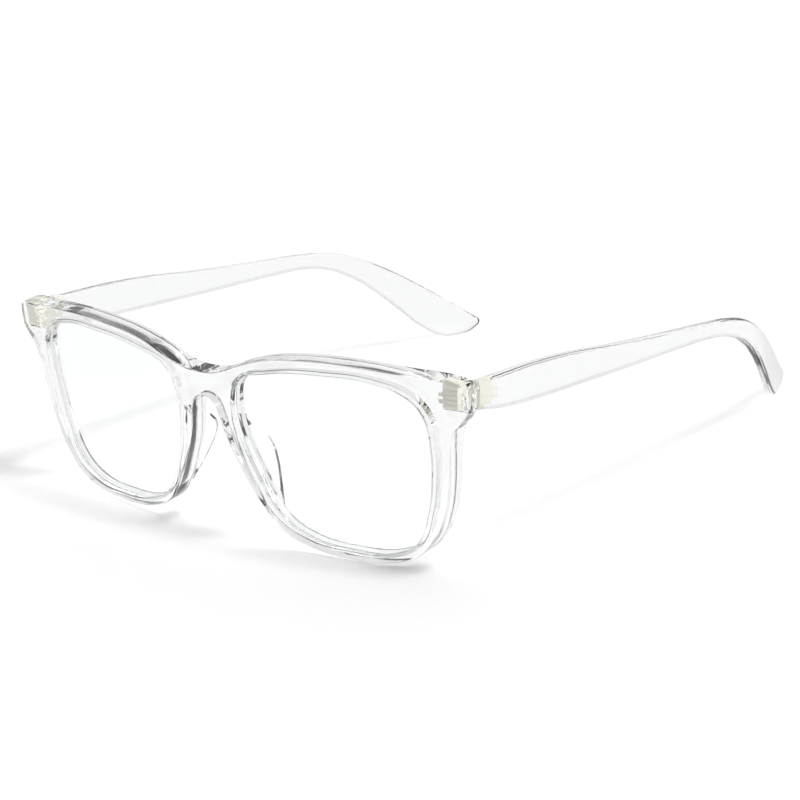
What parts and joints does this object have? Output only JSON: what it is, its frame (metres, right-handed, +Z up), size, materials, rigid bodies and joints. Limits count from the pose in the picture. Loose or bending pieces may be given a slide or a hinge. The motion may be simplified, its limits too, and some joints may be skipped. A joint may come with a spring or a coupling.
{
  "type": "eyeglasses",
  "caption": "Blue light glasses with a clear moulded rectangular front, saddle bridge, fixed lenses and folding clear temples on nickel silver hinges",
  "frame": {"origin": "on the floor under the middle of the glasses' bounding box", "axes": "+X runs across the glasses; the front faces -Y and the temples run to +Y; +Z is up"},
  "size_m": [0.14, 0.1584, 0.0471],
  "materials": {
    "clear_plastic": "crystal clear moulded plastic, polished",
    "coated_lens": "clear lens with a faint blue reflective coating",
    "pad_plastic": "crystal clear moulded plastic, slightly softer polish",
    "nickel_silver": "pale champagne nickel silver, satin",
    "screw_steel": "small turned steel screw"
  },
  "bodies": {
    "front": {"frame_front": "clear_plastic", "lens_left": "coated_lens", "lens_right": "coated_lens", "nose_pad_left": "pad_plastic", "nose_pad_right": "pad_plastic", "front_hinge_left": "nickel_silver", "front_hinge_right": "nickel_silver", "hinge_screw_left": "screw_steel", "hinge_screw_right": "screw_steel"},
    "temple_left": {"temple_left": "clear_plastic", "temple_hinge_left": "nickel_silver"},
    "temple_right": {"temple_right": "clear_plastic", "temple_hinge_right": "nickel_silver"}
  },
  "joints": [
    {"name": "temple_right_fold", "type": "hinge", "parent": "front", "child": "temple_right", "pos_m": [0.0646, -0.06577, 0.04116], "axis": [0, 0.1045, 0.9945], "range_deg": [0, 85]},
    {"name": "temple_left_fold", "type": "hinge", "parent": "front", "child": "temple_left", "pos_m": [-0.0646, -0.06577, 0.04116], "axis": [0, -0.1045, -0.9945], "range_deg": [0, 56]}
  ]
}
